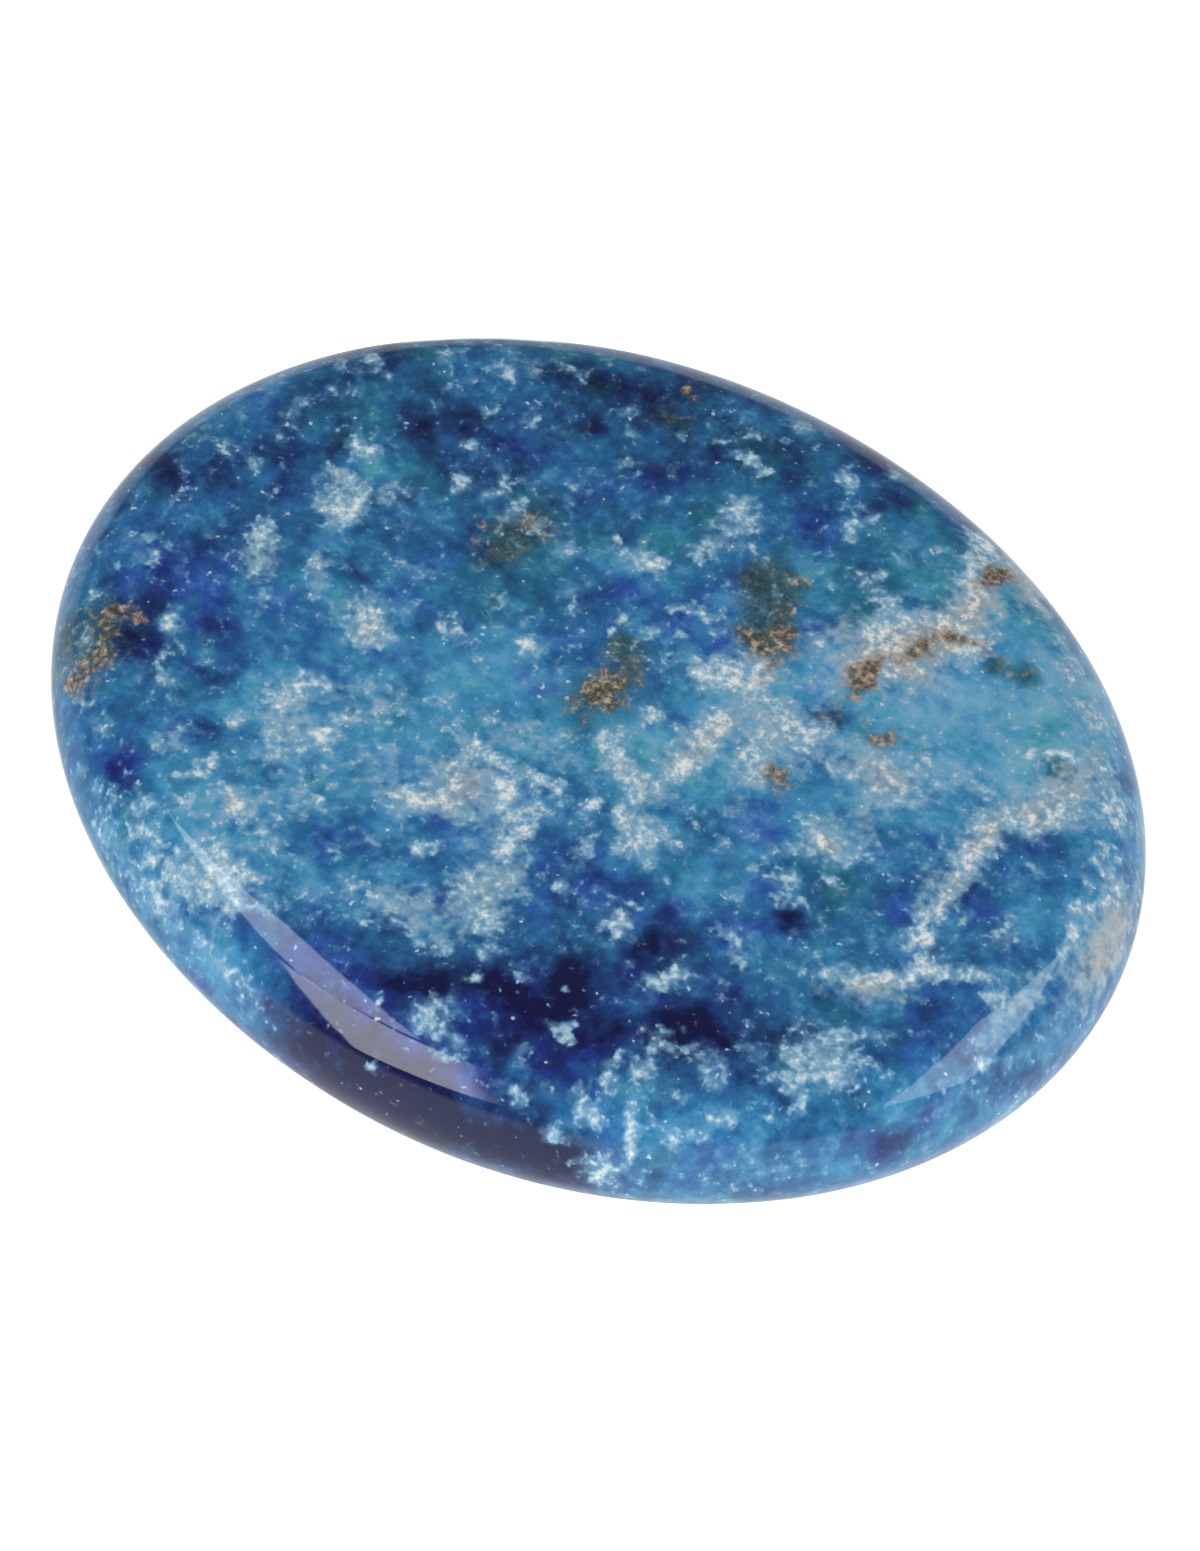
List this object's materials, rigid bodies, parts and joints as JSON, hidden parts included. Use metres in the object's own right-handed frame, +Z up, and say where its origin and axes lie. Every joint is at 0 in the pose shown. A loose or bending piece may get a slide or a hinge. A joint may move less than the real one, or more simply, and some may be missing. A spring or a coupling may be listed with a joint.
{
  "type": "polished lapis lazuli palm stone",
  "caption": "Flat oval polished stone of lapis lazuli with a slightly crowned top, a round edge and a flat back that it rests on.",
  "frame": {"origin": "middle of the flat back that the stone rests on, under the middle of its bounding box", "axes": "+X along the stone's long way, +Y across it, +Z up through its thickness"},
  "size_m": [0.05, 0.0402, 0.0074],
  "materials": {
    "lapis": "polished, mottled blue with white calcite flecks and brown pyrite"
  },
  "bodies": {
    "root": {"lapis_stone": "lapis"}
  },
  "joints": []
}
